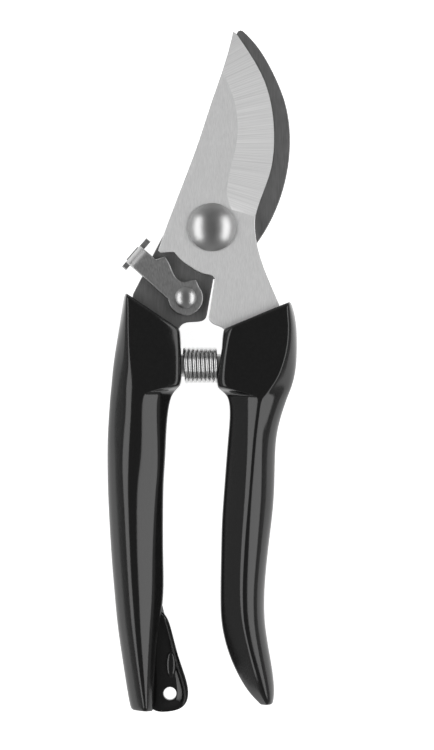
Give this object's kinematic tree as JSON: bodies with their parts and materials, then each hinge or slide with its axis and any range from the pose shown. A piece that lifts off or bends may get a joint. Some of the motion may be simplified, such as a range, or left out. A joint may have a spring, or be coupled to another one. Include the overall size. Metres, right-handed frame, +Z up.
{
  "type": "bypass pruning shears",
  "caption": "Hand pruning shears with a curved cutting blade passing a hook, a domed pivot, a swinging lock lever, a coil spring between vinyl-coated handles and a hanging hole.",
  "frame": {"origin": "middle of the base of the bounding box of the closed, locked shears lying flat on their back", "axes": "+X across, towards the cutting blade's handle; +Y along, towards the blade tips; +Z up, towards the pivot's domed head"},
  "size_m": [0.0572, 0.2042, 0.0145],
  "materials": {
    "blade_steel": "brushed, bright",
    "hook_steel": "satin, dark grey",
    "lever_steel": "stamped, satin",
    "polished_steel": "satin polished",
    "fastener_steel": "zinc plated",
    "spring_steel": "bright drawn wire",
    "cast_core": "as cast",
    "vinyl": "glossy black dipped vinyl",
    "nylon": "nylon"
  },
  "bodies": {
    "hook_side": {"hook_blade": "hook_steel", "hook_handle_core": "cast_core", "hook_handle_coat": "vinyl", "hook_tang_rivet_front": "fastener_steel", "hook_tang_rivet_rear": "fastener_steel", "hook_spring_stud": "fastener_steel", "pivot_bolt": "polished_steel", "pivot_washer": "fastener_steel", "pivot_nut": "fastener_steel", "nut_insert": "nylon", "lock_rivet": "polished_steel", "lock_spring_washer": "spring_steel", "return_spring": "spring_steel"},
    "blade_side": {"cutting_blade": "blade_steel", "blade_handle_core": "cast_core", "blade_handle_coat": "vinyl", "blade_tang_rivet_front": "fastener_steel", "blade_tang_rivet_rear": "fastener_steel", "blade_spring_stud": "fastener_steel"},
    "lock": {"lock_lever": "lever_steel"}
  },
  "joints": [
    {"name": "blade_pivot", "type": "hinge", "parent": "hook_side", "child": "blade_side", "pos_m": [0.0026, 0.04289, 0.00726], "axis": [0, 0, 1], "range_deg": [0, 26], "deforming": ["return_spring"]},
    {"name": "lock_swing", "type": "hinge", "parent": "hook_side", "child": "lock", "pos_m": [-0.0053, 0.02179, 0.00726], "axis": [0, 0, 1], "range_deg": [0, 20.02]}
  ],
  "couplings": [
    {"joint": "lock_swing", "follows": "blade_pivot", "ratio": 0.77}
  ]
}
